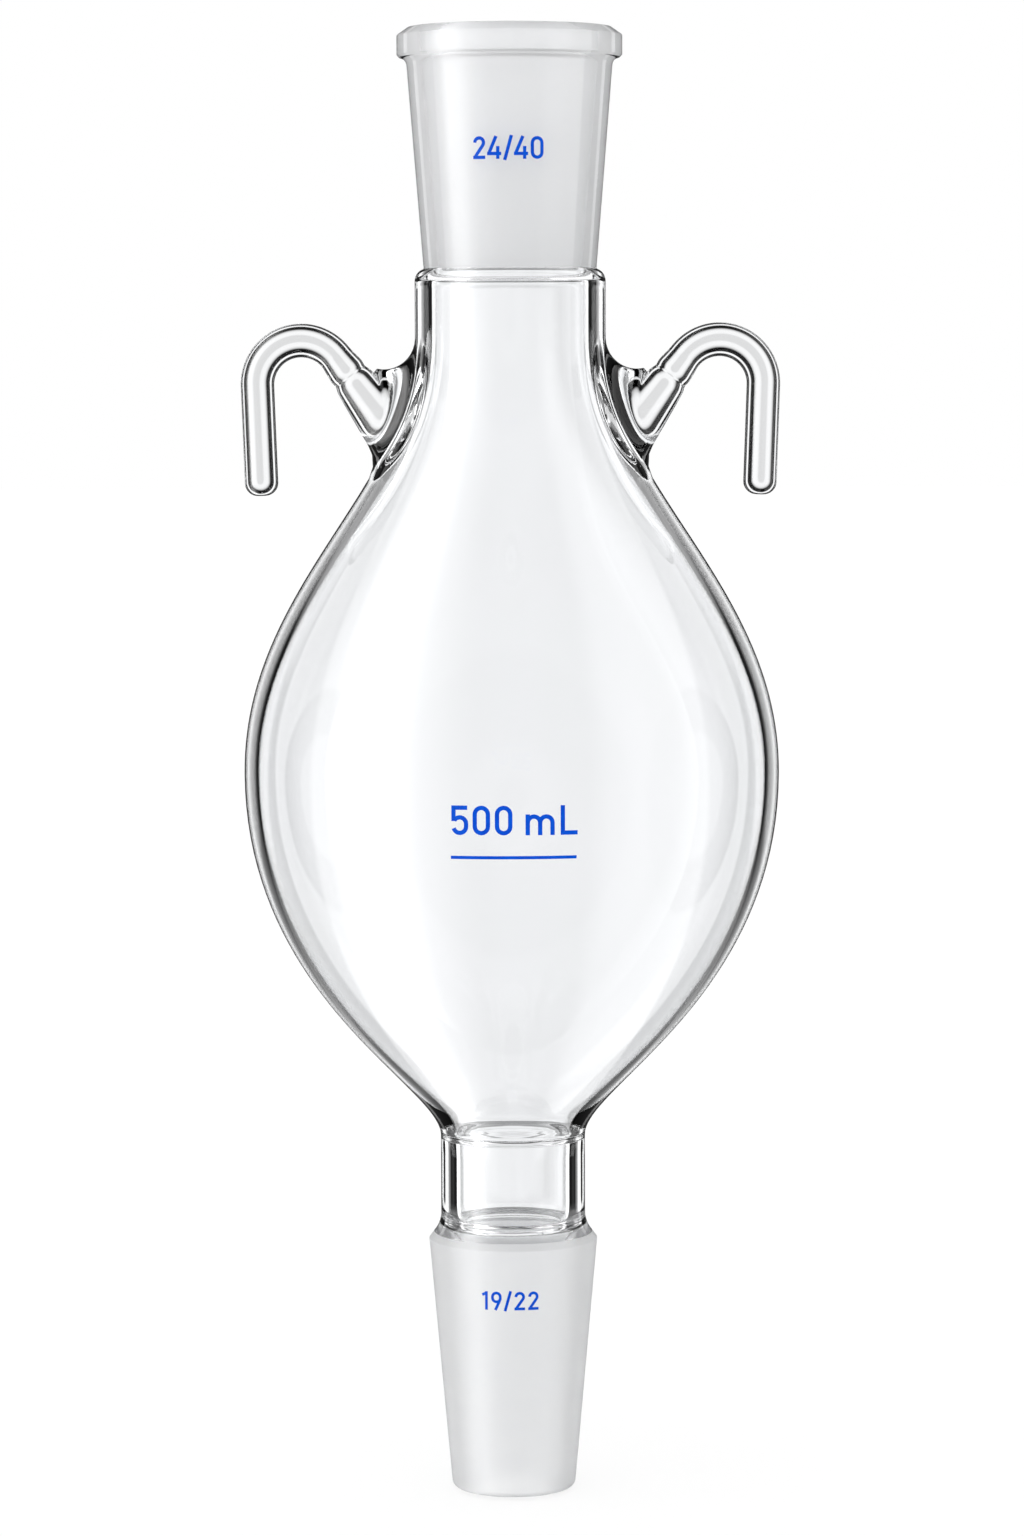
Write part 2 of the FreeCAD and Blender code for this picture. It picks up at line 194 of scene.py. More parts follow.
class Outline:
    """Points (radius, height) in millimetres, with the finish that starts at each of them."""

    def __init__(self, radius, height):
        self.points = [np.array([radius, height], float)]
        self.finish = []
        self.rounds = {}

    def add(self, points, finish):
        for point in points:
            self.points.append(np.array(point, float))
            self.finish.append(finish)

    def line(self, radius, height, finish=CLEAR, pitch=3.0):
        """A straight stretch, cut into steps of about one pitch."""
        start, end = self.points[-1], np.array([radius, height], float)
        steps = max(1, round(float(np.linalg.norm(end - start)) / pitch))
        self.add([start + (end - start) * step / steps for step in range(1, steps + 1)], finish)

    def curve(self, radius, height, handle_from, handle_to, steps, finish=CLEAR):
        """An S-shaped curve that leaves and arrives upright; its handles are two heights."""
        start = self.points[-1]
        poles = np.array([start, (start[0], handle_from), (radius, handle_to), (radius, height)])
        for step in range(1, steps + 1):
            t = step / steps
            weights = np.array([(1 - t) ** 3, 3 * t * (1 - t) ** 2, 3 * t * t * (1 - t), t**3])
            self.add([weights @ poles], finish)

    def swell(self, radius, height, steps=6, finish=CLEAR):
        """A short S-shaped step to another radius."""
        middle = (self.points[-1][1] + height) / 2
        self.curve(radius, height, middle, middle, steps, finish)

    def arc(self, radius, height, upright_at_end=False, steps=6, finish=CLEAR):
        """An arc that is upright where it leaves, or where it arrives."""
        start, end = self.points[-1], np.array([radius, height], float)
        upright, other = (end, start) if upright_at_end else (start, end)
        across, up = other - upright
        reach = (across**2 + up**2) / (2 * across)
        centre = upright + np.array([reach, 0])
        first, last = (math.atan2(*(point - centre)[::-1]) for point in (start, end))
        turn = (last - first + math.pi) % (2 * math.pi) - math.pi
        for step in range(1, steps + 1):
            angle = first + turn * step / steps
            self.add([centre + abs(reach) * np.array([math.cos(angle), math.sin(angle)])], finish)

    def round_last(self, radius, steps=4):
        """Mark the last corner to be rounded."""
        self.rounds[len(self.points) - 1] = (radius, steps)

    def finished(self):
        """The points and finishes, with every marked corner rounded."""
        points, finish = [], []
        for index, point in enumerate(self.points):
            carry = self.finish[index] if index < len(self.finish) else CLEAR
            if index not in self.rounds:
                points.append(point)
                finish.append(carry)
                continue
            radius, steps = self.rounds[index]
            before, after = self.points[index - 1], self.points[index + 1]
            towards = (before - point) / np.linalg.norm(before - point)
            away = (after - point) / np.linalg.norm(after - point)
            half_turn = (math.pi - math.acos(np.clip(towards @ away, -1, 1))) / 2
            set_back = radius * math.tan(half_turn)
            middle = (towards + away) / np.linalg.norm(towards + away)
            centre = point + middle * radius / math.cos(half_turn)
            first = point + towards * set_back - centre
            last = point + away * set_back - centre
            for step in range(steps + 1):
                t = step / steps
                angle = 2 * half_turn
                blend = (math.sin((1 - t) * angle) * first + math.sin(t * angle) * last) / math.sin(angle)
                points.append(centre + blend)
                finish.append(self.finish[index - 1] if step < steps / 2 else carry)
        return np.array(points), finish


# %% [markdown]
# From the tip up, the outside is the ground cone with its rounded tip and narrow bevel, the lower
# neck, the two S-shaped flanks of the bulb, the upper neck, and the socket with its collar. A real
# bulb is blown, so its flanks are single curves that reach both necks upright.

# %% Outline of the outside
outside = Outline(TIP_BORE + RING_OVERLAP, 0)
outside.line(JOINT_TIP_RADIUS, 0, CONE_GROUND)
outside.round_last(LOWER_TIP_ROUND, 8)
outside.line(JOINT_TOP_RADIUS, LOWER_JOINT_LENGTH, CONE_GROUND)
outside.round_last(EDGE_ROUND)
outside.line(JOINT_TOP_RADIUS - LOWER_BEVEL_DEPTH, BEVEL_TOP, CONE_GROUND)
outside.round_last(EDGE_ROUND / 2)
outside.arc(LOWER_NECK_RADIUS, NECK_START, upright_at_end=True, steps=10)
outside.line(LOWER_NECK_RADIUS, BULB_START)
outside.curve(BULB_RADIUS, BELLY, BULB_START + LOWER_NECK_EASE, BELLY - LOWER_BELLY_EASE, 40)
outside.curve(UPPER_NECK_RADIUS, BULB_END, BELLY + UPPER_BELLY_EASE, BULB_END - UPPER_NECK_EASE, 56)
outside.line(UPPER_NECK_RADIUS, SHOULDER, pitch=NECK_PITCH)
outside.arc(SOCKET_FOOT_RADIUS, SOCKET_START, steps=8)
outside.round_last(EDGE_ROUND)
outside.line(SOCKET_TOP_RADIUS, SOCKET_END)
outside.arc(COVE_RADIUS, COVE_END, steps=8)
outside.round_last(EDGE_ROUND / 3)
outside.line(COLLAR_RADIUS, COLLAR_START)
outside.round_last(EDGE_ROUND)
outside.line(COLLAR_RADIUS, COLLAR_END)
outside.round_last(EDGE_ROUND)
outside.line(RIM_RADIUS, RIM)
outside.round_last(EDGE_ROUND)
outside.line(RIM_BORE + RING_OVERLAP, RIM)
outside_points, outside_finish = outside.finished()
print(len(outside_points), "points outside")

# %% [markdown]
# The bore follows the outside at the thickness of the wall. Tubes of different sizes are melted
# together at three places, which leaves a ledge under the socket and a ring of thicker glass at
# each end of the lower neck. Their short steep flanks are what the eye sees as thin ellipses.

# %% Outline of the bore, from the rim down
outlet_foot = BULB_START - OUTLET_RING_HEIGHT / 2
outlet_top = BULB_START + OUTLET_RING_HEIGHT / 2
bore = Outline(RIM_BORE + RING_OVERLAP, RIM)
bore.line(RIM_BORE, RIM)
bore.round_last(EDGE_ROUND)
bore.line(SOCKET_BORE, SOCKET_START, SOCKET_GROUND)
bore.swell(UPPER_BORE - LEDGE_LIP, SOCKET_START - LEDGE_HEIGHT, 5)
bore.line(UPPER_BORE - LEDGE_LIP, SHOULDER + LEDGE_LIP)
bore.swell(UPPER_BORE, SHOULDER - LEDGE_LIP / 2, 4)
bore.line(UPPER_BORE, BULB_END, pitch=NECK_PITCH)
bore.curve(
    BELLY_BORE,
    BELLY,
    BULB_END - UPPER_NECK_EASE - UPPER_NECK_EASE_OUTSET,
    BELLY + UPPER_BELLY_EASE - UPPER_BELLY_EASE_INSET,
    50,
)
bore.curve(
    LOWER_NECK_RADIUS - OUTLET_WALL,
    outlet_top,
    BELLY - LOWER_BELLY_EASE + LOWER_BELLY_EASE_INSET,
    outlet_top + LOWER_NECK_EASE - LOWER_NECK_EASE_INSET,
    40,
)
bore.swell(LOWER_BORE - OUTLET_RING_DEPTH, BULB_START, 8)
bore.swell(LOWER_BORE, outlet_foot, 8)
bore.line(LOWER_BORE, BEVEL_TOP + LOWER_RING_HEIGHT)
bore.swell(LOWER_BORE - LOWER_RING_DEPTH, BEVEL_TOP + LOWER_RING_HEIGHT / 2, 8)
bore.swell(JOINT_BORE, BEVEL_TOP, 8)
bore.line(TIP_BORE, 0)
bore.round_last(EDGE_ROUND)
bore.line(TIP_BORE + RING_OVERLAP, 0)
bore_points, bore_finish = bore.finished()
print(len(bore_points), "points in the bore")

# %% [markdown]
# The glass is turned from the two outlines, which meet on the flat rings at the rim and the tip.
# The outer skin leaves an opening on each side, where the hook's weld is fitted in.

# %% Turn the outlines
COLUMNS = 176
WELD_LOW, WELD_HIGH = 167.0, 212.0
WELD_HALF_COLUMNS = 15

profile = np.vstack([outside_points[:-1], bore_points[:-1]])
profile_finish = outside_finish[:-1] + bore_finish[:-1]
rows = len(profile)
outer_heights_in_turn = profile[: len(outside_points) - 1, 1]
outer_rows = [row for row, height in enumerate(outer_heights_in_turn) if WELD_LOW <= height <= WELD_HIGH]
weld_first, weld_last = outer_rows[0], outer_rows[-1]

angles = 2 * math.pi * np.arange(COLUMNS) / COLUMNS
turned = np.empty((rows, COLUMNS, 3))
turned[:, :, 0] = profile[:, None, 0] * np.cos(angles)
turned[:, :, 1] = profile[:, None, 0] * np.sin(angles)
turned[:, :, 2] = profile[:, None, 1]
vertices = list(turned.reshape(-1, 3))


def vertex_at(row, column):
    return (row % rows) * COLUMNS + column % COLUMNS


def in_weld(row, column):
    """Whether a face of the outer skin is left open for a weld."""
    from_hook = (column + COLUMNS // 4) % (COLUMNS // 2) - COLUMNS // 4
    return weld_first <= row < weld_last and -WELD_HALF_COLUMNS <= from_hook < WELD_HALF_COLUMNS


faces, face_finish = [], []
for row in range(rows):
    for column in range(COLUMNS):
        if in_weld(row, column):
            continue
        square = [
            vertex_at(row, column),
            vertex_at(row, column + 1),
            vertex_at(row + 1, column + 1),
            vertex_at(row + 1, column),
        ]
        # each half starts its squares at its own corner, so the two split into mirrored triangles
        first_corner = 1 if math.cos(angles[column]) > 0 else 0
        faces.append(tuple(square[first_corner:] + square[:first_corner]))
        face_finish.append(profile_finish[row])
print(len(faces), "faces turned;", weld_last - weld_first, "rows in each opening")

# %% [markdown]
# A hook is a rod bent in the flame and melted onto the shoulder. Its skin is a stack of rings
# that run up the leg, over the arch and down the arm. Near the bulb the rings spread, and each of
# their points slides onto a rounded union of the arm and the bulb until the last ring is the
# edge of the opening.

# %% Distances from the bulb and the arm
ARCH_X = UPPER_NECK_RADIUS + HOOK_STANDOFF
ARCH_Z = BULB_END - HOOK_DROP
ARCH_CENTRE = np.array([ARCH_X, 0, ARCH_Z])
ARM_DOWN = np.array([-math.cos(ARM_SLOPE), 0, -math.sin(ARM_SLOPE)])
ARM_ACROSS = np.array([-math.sin(ARM_SLOPE), 0, math.cos(ARM_SLOPE)])
ARM_TOP = ARCH_CENTRE + ARCH_RADIUS * ARM_ACROSS
ARM_LENGTH = (ARM_TOP[0] - UPPER_BORE) / math.cos(ARM_SLOPE)
ARM_SPREAD = ARM_ROOT_SPREAD / 2 / ARM_LENGTH
CONE = math.atan(ARM_SPREAD)
SETTLE_ROUNDS = 8
BALL_ROUNDS = 12
LEAST_CROSSING = 0.05

skin_a, skin_b = outside_points[:-1], outside_points[1:]
skin_step = skin_b - skin_a
skin_length = np.linalg.norm(skin_step, axis=1)


def from_bulb(points):
    """Signed distance from the outer skin, positive outside, and the direction straight out."""
    reach = np.hypot(points[:, 0], points[:, 1])
    flat = np.stack([reach, points[:, 2]], axis=1)
    offset = flat[:, None] - skin_a[None]
    along = np.clip((offset * skin_step[None]).sum(2) / skin_length[None] ** 2, 0, 1)
    gap = offset - along[:, :, None] * skin_step[None]
    size = np.linalg.norm(gap, axis=2)
    nearest = size.argmin(1)
    step = skin_step[nearest] / skin_length[nearest][:, None]
    out = np.stack([step[:, 1], -step[:, 0]], axis=1)
    distance = (gap[np.arange(len(flat)), nearest] * out).sum(1)
    around = points[:, :2] / reach[:, None]
    return distance, np.stack([out[:, 0] * around[:, 0], out[:, 0] * around[:, 1], out[:, 1]], axis=1)


def from_arm(points):
    """Signed distance from the arm's cone, and the direction straight out."""
    offset = points - ARM_TOP
    along = offset @ ARM_DOWN
    away = offset - along[:, None] * ARM_DOWN
    reach = np.linalg.norm(away, axis=1)
    distance = (reach - ROD_RADIUS - ARM_SPREAD * along) * math.cos(CONE)
    return distance, math.cos(CONE) * away / reach[:, None] - math.sin(CONE) * ARM_DOWN


def settle(points, distance):
    """Slide points straight in or out until they lie on a surface."""
    for _ in range(SETTLE_ROUNDS):
        gap, out = distance(points)
        points = points - gap[:, None] * out
    return points


def round_weld(points):
    """Slide points onto the arm and bulb, with the corner between them filled by a rolling ball."""
    ball = points.copy()
    for _ in range(BALL_ROUNDS):
        bulb_gap, bulb_out = from_bulb(ball)
        arm_gap, arm_out = from_arm(ball)
        shared = (bulb_out * arm_out).sum(1)
        short_bulb, short_arm = WELD_RADIUS - bulb_gap, WELD_RADIUS - arm_gap
        spread = np.maximum(1 - shared**2, LEAST_CROSSING)
        step_bulb = (short_bulb - shared * short_arm) / spread
        step_arm = (short_arm - shared * short_bulb) / spread
        ball = ball + step_bulb[:, None] * bulb_out + step_arm[:, None] * arm_out
    to_point = points - ball
    on_bulb, on_arm = -(to_point * bulb_out).sum(1), -(to_point * arm_out).sum(1)
    share_bulb = on_bulb - shared * on_arm
    share_arm = on_arm - shared * on_bulb
    filled = ball + WELD_RADIUS * to_point / np.linalg.norm(to_point, axis=1)[:, None]
    touches_bulb, touches_arm = settle(points, from_bulb), settle(points, from_arm)
    result = np.where((share_arm <= 0)[:, None], touches_bulb, filled)
    return np.where((share_bulb <= 0)[:, None], touches_arm, result)


# %% [markdown]
# The rings have as many points as the opening's edge, and start at the same angle, so that the
# squares between them run straight down the rod and fan out evenly over the weld. A rod that is
# pressed on hot keeps a slight waist just outside its weld.

# %% Rings of one hook
opening = [(weld_first, column) for column in range(-WELD_HALF_COLUMNS, WELD_HALF_COLUMNS)]
opening += [(row, WELD_HALF_COLUMNS) for row in range(weld_first, weld_last)]
opening += [(weld_last, column) for column in range(WELD_HALF_COLUMNS, -WELD_HALF_COLUMNS, -1)]
opening += [(row, -WELD_HALF_COLUMNS) for row in range(weld_last, weld_first, -1)]
edge_ring = np.array([turned[row, column % COLUMNS] for row, column in opening])
print(f"the opening's edge stays {from_arm(edge_ring)[0].min():.2f} mm from the arm")

from_axis = edge_ring - ARM_TOP
edge_angle = np.unwrap(np.arctan2(from_axis @ ARM_ACROSS, from_axis[:, 1]))
ring_size = len(opening)
turn = 2 * math.pi * np.arange(ring_size) / ring_size
ring_angle = turn + (edge_angle - turn).mean()


def ring(centre, across, radius):
    """A ring of points about a place on the rod's middle line."""
    spread = np.cos(ring_angle)[:, None] * np.array([0, 1, 0]) + np.sin(ring_angle)[:, None] * across
    return centre + radius * spread


leg_down = np.array([-math.sin(LEG_LEAN), 0, -math.cos(LEG_LEAN)])
leg_across = np.array([math.cos(LEG_LEAN), 0, -math.sin(LEG_LEAN)])
leg_top = ARCH_CENTRE + ARCH_RADIUS * leg_across
leg_tip = leg_top + LEG_LENGTH * leg_down

TIP_RINGS, LEG_RINGS, ARCH_RINGS, ARM_RINGS, WELD_RINGS = 8, 24, 40, 24, 30
rings = []
for step in range(TIP_RINGS + 1):
    turn_in = math.pi / 2 * (1 - step / TIP_RINGS)
    above_tip = HOOK_TIP_ROUND * (1 - math.sin(turn_in))
    radius = ROD_RADIUS - HOOK_TIP_ROUND + HOOK_TIP_ROUND * math.cos(turn_in)
    rings.append(ring(leg_tip - above_tip * leg_down, leg_across, radius))
for step in range(1, LEG_RINGS + 1):
    above_tip = HOOK_TIP_ROUND + (LEG_LENGTH - HOOK_TIP_ROUND) * step / LEG_RINGS
    rings.append(ring(leg_tip - above_tip * leg_down, leg_across, ROD_RADIUS))
ARCH_TURN = math.pi / 2 + ARM_SLOPE + LEG_LEAN
for step in range(1, ARCH_RINGS + 1):
    angle = -LEG_LEAN + ARCH_TURN * step / ARCH_RINGS
    outward = np.array([math.cos(angle), 0, math.sin(angle)])
    rings.append(ring(ARCH_CENTRE + ARCH_RADIUS * outward, outward, ROD_RADIUS))
WELD_REACH = 6.0
WAIST_PLACE, WAIST_DEPTH, WAIST_HALF_LENGTH = 4.1, 0.27, 0.75
for step in range(1, ARM_RINGS + 1):
    along = WELD_REACH * step / ARM_RINGS
    waist = WAIST_DEPTH * math.exp(-(((along - WAIST_PLACE) / WAIST_HALF_LENGTH) ** 2))
    rings.append(ring(ARM_TOP + along * ARM_DOWN, ARM_ACROSS, ROD_RADIUS + ARM_SPREAD * along - waist))

top_ring = rings[-1]
spread_out = (top_ring - ARM_TOP - WELD_REACH * ARM_DOWN) / (ROD_RADIUS + ARM_SPREAD * WELD_REACH)
arm_lines = ARM_DOWN + ARM_SPREAD * spread_out
FOOT_ROUNDS, FOOT_SHARE = 60, 0.6
foot_ring = top_ring.copy()
for _ in range(FOOT_ROUNDS):
    foot_ring = foot_ring + arm_lines * (from_bulb(foot_ring)[0] * FOOT_SHARE)[:, None]
WELD_ROUNDS = 3
weld = []
for step in range(1, WELD_RINGS):
    t = step / WELD_RINGS
    weld.append((1 - t) ** 2 * top_ring + 2 * t * (1 - t) * foot_ring + t * t * edge_ring)
weld = np.vstack(weld)
for _ in range(WELD_ROUNDS):
    weld = round_weld(weld)
weld = weld.reshape(WELD_RINGS - 1, ring_size, 3)
rings.extend(weld)
print(len(rings), "rings of", ring_size, "points; the arm meets the bulb at", foot_ring.mean(0).round(2))

# %% [markdown]
# Both hooks are sewn into the openings, the left one as the mirror image of the right one. The
# result is one closed skin, as the fused glass is: light inside it meets no hidden faces, so it
# bends as it does in the real flask.

# %% Join both hooks to the turned glass
for side in (1, -1):
    first = len(vertices)
    for one in rings:
        vertices.extend(one * np.array([side, 1, 1]))
    if side == 1:
        edge = [vertex_at(row, column) for row, column in opening]
    else:
        edge = [vertex_at(row, COLUMNS // 2 - column) for row, column in opening]
    loops = [[first + level * ring_size + place for place in range(ring_size)] for level in range(len(rings))]
    loops.append(edge)
    tip_centre = len(vertices)
    vertices.append(leg_tip * np.array([side, 1, 1]))
    for lower, upper in zip(loops, loops[1:]):
        for place in range(ring_size):
            after = (place + 1) % ring_size
            quad = (lower[place], lower[after], upper[after], upper[place])
            faces.append(quad[::-1] if side == 1 else quad)
            face_finish.append(CLEAR)
    for place in range(ring_size):
        after = (place + 1) % ring_size
        wedge = (tip_centre, loops[0][after], loops[0][place])
        faces.append(wedge[::-1] if side == 1 else wedge)
        face_finish.append(CLEAR)

glass_mesh = bpy.data.meshes.new("glass")
glass_mesh.from_pydata([tuple(MM * point) for point in vertices], [], faces)
glass_mesh.polygons.foreach_set("material_index", face_finish)
glass_mesh.polygons.foreach_set("use_smooth", [True] * len(faces))
glass_mesh.update()
glass = bpy.data.objects.new("glass", glass_mesh)
bpy.context.scene.collection.objects.link(glass)
mesh = bmesh.new()
mesh.from_mesh(glass_mesh)
bmesh.ops.recalc_face_normals(mesh, faces=mesh.faces)
open_edges = sum(not edge.is_manifold for edge in mesh.edges)
triangles = sum(len(face.verts) - 2 for face in mesh.faces)
print(f"volume {mesh.calc_volume() * 1e6:.2f} mL, open edges {open_edges}, triangles {triangles}")
mesh.to_mesh(glass_mesh)
mesh.free()

# %% [markdown]
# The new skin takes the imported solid's place, so it has to lie where the solid does. Each point of
# the solid is measured against it, and then the glass is put on the flask's body.

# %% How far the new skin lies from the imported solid
tree = BVHTree.FromPolygons([vertex.co for vertex in glass_mesh.vertices], faces)
solid_points = [vertex.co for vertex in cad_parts["flask"].data.vertices]
gaps = sorted(tree.find_nearest(point)[3] / MM for point in solid_points)
print(f"greatest gap {gaps[-1]:.3f} mm, 99 in 100 under {gaps[len(gaps) * 99 // 100]:.3f} mm")

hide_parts("flask")
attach(glass, "root")

# %% [markdown]
# Materials are wired from nodes. A small helper keeps that readable: it takes numbers, colours and
# other nodes' outputs alike.

# %% A helper for wiring nodes
class Wiring:
    """Adds nodes to a tree; a value is a number, a colour or another node's output."""

    def __init__(self, tree):
        self.nodes, self.links = tree.nodes, tree.links
        self.nodes.clear()

    def feed(self, socket, value):
        if isinstance(value, bpy.types.NodeSocket):
            self.links.new(value, socket)
        else:
            socket.default_value = value

    def add(self, kind, inputs=(), **settings):
        node = self.nodes.new(kind)
        for key, value in settings.items():
            setattr(node, key, value)
        for name, value in dict(inputs).items():
            self.feed(node.inputs[name], value)
        return node

    def math(self, operation, *values):
        node = self.nodes.new("ShaderNodeMath")
        node.operation = operation
        for socket, value in zip(node.inputs, values):
            self.feed(socket, value)
        return node.outputs[0]

    def times(self, first, *others):
        """The product of two or more values."""
        for other in others:
            first = self.math("MULTIPLY", first, other)
        return first

    def plus(self, first, *others):
        """The sum of two or more values."""
        for other in others:
            first = self.math("ADD", first, other)
        return first

    def minus(self, first, second):
        return self.math("SUBTRACT", first, second)

    def rest(self, share):
        """What a share leaves of one."""
        return self.minus(1.0, share)

    def over(self, value, limit):
        """One where a value is over a limit, and zero elsewhere."""
        return self.math("GREATER_THAN", value, limit)

    def ramp(self, value, low, high, start=0.0, end=1.0):
        """A smooth change from start to end as a value goes from low to high."""
        names = {"Value": value, "From Min": low, "From Max": high, "To Min": start, "To Max": end}
        return self.add("ShaderNodeMapRange", names, interpolation_type="SMOOTHSTEP").outputs[0]

    def window(self, value, low, high, soft):
        """One between low and high, and zero outside, with soft edges."""
        return self.times(self.ramp(value, low - soft, low), self.ramp(value, high, high + soft, 1.0, 0.0))

    def group(self, tree, inputs):
        """One of the shared effects, with this material's own values."""
        node = self.add("ShaderNodeGroup", node_tree=tree)
        for name, value in inputs.items():
            self.feed(node.inputs[name], value)
        return node


def shared_effect(name, inputs, outputs):
    """An empty node group with named inputs and outputs, and its wiring."""
    tree = bpy.data.node_groups.new(name, "ShaderNodeTree")
    for label, value in inputs.items():
        tree.interface.new_socket(label, in_out="INPUT", socket_type="NodeSocketFloat").default_value = value
    for label in outputs:
        tree.interface.new_socket(label, in_out="OUTPUT", socket_type="NodeSocketFloat")
    wires = Wiring(tree)
    return tree, wires, wires.add("NodeGroupInput").outputs, wires.add("NodeGroupOutput").inputs


# %% [markdown]
# Two effects are shared. Drawing glass in a flame leaves long soft waves along its axis, and
# printing leaves enamel thinner in short ones. Grinding and firing leave a fine grain. Both are
# built once as node groups, and each material gives them its own sizes.

# %% Shared effects: drawn waves and fine grain
NOISE_LOW, NOISE_HIGH = 0.25, 0.75


def place_stretched(wires, width, height):
    """The place on the flask, measured in patches of a given width and height."""
    place = wires.add("ShaderNodeSeparateXYZ", {0: wires.add("ShaderNodeTexCoord").outputs["Object"]})
    patch = {"X": width, "Y": width, "Z": height}
    scaled = {axis: wires.math("DIVIDE", place.outputs[axis], size) for axis, size in patch.items()}
    return wires.add("ShaderNodeCombineXYZ", scaled).outputs[0]


def spread_noise(wires, where, detail, roughness, given):
    """Soft noise, spread from the group's Low to its High."""
    settings = {"Vector": where, "Scale": 1.0, "Detail": detail, "Roughness": roughness}
    noise = wires.add("ShaderNodeTexNoise", settings).outputs["Fac"]
    return wires.ramp(noise, NOISE_LOW, NOISE_HIGH, given["Low"], given["High"])


drawn_waves, wires, given, result = shared_effect(
    "drawn_waves", {"Width": 0.01, "Height": 0.03, "Low": 0.0, "High": 1.0}, ["Wave"]
)
where = place_stretched(wires, given["Width"], given["Height"])
wires.feed(result["Wave"], spread_noise(wires, where, detail=1.0, roughness=0.4, given=given))

fine_grain, wires, given, result = shared_effect(
    "fine_grain", {"Size": 0.0003, "Low": 0.0, "High": 1.0}, ["Grain"]
)
where = place_stretched(wires, given["Size"], given["Size"])
wires.feed(result["Grain"], spread_noise(wires, where, detail=3.0, roughness=0.6, given=given))
print("shared effects:", drawn_waves.name, fine_grain.name)

# %% [markdown]
# Clear glass is drawn by its index of refraction, and its flame-polished skin is smooth. Only its
# tint varies, a very little, in long waves. Ground glass is the same glass with a fine rough skin:
# part of the light goes through it spread out, and part is scattered white, so it looks like frost.

# %% Glass
GLASS_INDEX = 1.474
WAVE_WIDTH, WAVE_HEIGHT = 0.012, 0.030
GRAIN_SIZE, GRAIN_DEPTH = 0.00035, 0.00002
CLOUD_WIDTH, CLOUD_HEIGHT = 0.006, 0.004
CLEAR_TINT = (0.985, 0.99, 1.0)
DEEPER_TINT = (0.978, 0.985, 0.992)
FROST_ROUGHNESS = (0.44, 0.56)
FROSTS = {
    "socket_frost": {"share": 0.5, "tints": ((0.99, 0.99, 0.995), (0.975, 0.98, 0.985))},
    "cone_frost": {"share": 0.62, "tints": ((0.93, 0.935, 0.94), (0.905, 0.91, 0.92))},
}


def glass_shader(name, clear_share):
    """A glass material, of which a share lets light through, with its wiring and its inputs."""
    material = bpy.data.materials.new(name)
    material.use_nodes = True
    wires = Wiring(material.node_tree)
    shader = wires.add(
        "ShaderNodeBsdfPrincipled", {"Roughness": 0.0, "IOR": GLASS_INDEX, "Transmission Weight": clear_share}
    )
    wires.add("ShaderNodeOutputMaterial", {"Surface": shader.outputs[0]})
    return material, wires, shader.inputs


def tint(wires, mask, first, second):
    """A colour between two tints, by a mask."""
    mask_input, first_colour, second_colour, colour_output = 0, 6, 7, 2
    colours = {mask_input: mask, first_colour: (*first, 1), second_colour: (*second, 1)}
    return wires.add("ShaderNodeMix", colours, data_type="RGBA").outputs[colour_output]


def relief(wires, height, depth):
    """Small bumps of a given depth."""
    return wires.add("ShaderNodeBump", {"Height": height, "Strength": 1.0, "Distance": depth}).outputs[0]


polished_glass, wires, skin = glass_shader("polished_glass", 1.0)
wave = wires.group(drawn_waves, {"Width": WAVE_WIDTH, "Height": WAVE_HEIGHT}).outputs[0]
wires.feed(skin["Base Color"], tint(wires, wave, CLEAR_TINT, DEEPER_TINT))
glass_mesh.materials.append(polished_glass)

for name, frost in FROSTS.items():
    frosted_glass, wires, skin = glass_shader(name, frost["share"])
    smoothest, roughest = FROST_ROUGHNESS
    grain = wires.group(fine_grain, {"Size": GRAIN_SIZE, "Low": smoothest, "High": roughest}).outputs[0]
    cloud = wires.group(drawn_waves, {"Width": CLOUD_WIDTH, "Height": CLOUD_HEIGHT}).outputs[0]
    wires.feed(skin["Roughness"], grain)
    wires.feed(skin["Base Color"], tint(wires, cloud, *frost["tints"]))
    wires.feed(skin["Normal"], relief(wires, grain, GRAIN_DEPTH))
    glass_mesh.materials.append(frosted_glass)
print("glass finishes:", [material.name for material in glass_mesh.materials])

# %% [markdown]
# The blue marks give the joint sizes and the volume, with a line under it. On a real flask they
# are screen-printed in enamel and fired on. Here each stroke of a figure is a middle line that is
# widened to a flat ribbon and wrapped on the glass. A set of strokes keeps them all the same width.

# %% Strokes of the figures, in cap heights
STROKE = 0.148
INSET = STROKE / 2
SMALL_LETTER = 0.705
ARCH_SPRINGS = 0.42


def bend(across, up, radius, start, end, steps=10):
    """Points round a bend, from one angle to another in degrees."""
    turns = np.radians(np.linspace(start, end, steps + 1))
    return [(across + radius * math.cos(turn), up + radius * math.sin(turn)) for turn in turns]


def nought(width):
    """A long ring that closes on itself."""
    radius = width / 2 - INSET
    top = bend(width / 2, 1 - INSET - radius, radius, 0, 180)
    foot = bend(width / 2, INSET + radius, radius, 180, 360)
    return [top + foot + top[:1]]


def arch(left, right):
    """A stem that bends over into the next one."""
    radius = (right - left) / 2
    crown = bend(left + radius, SMALL_LETTER - INSET - radius, radius, 180, 0)
    return [(left, ARCH_SPRINGS), *crown, (right, 0)]


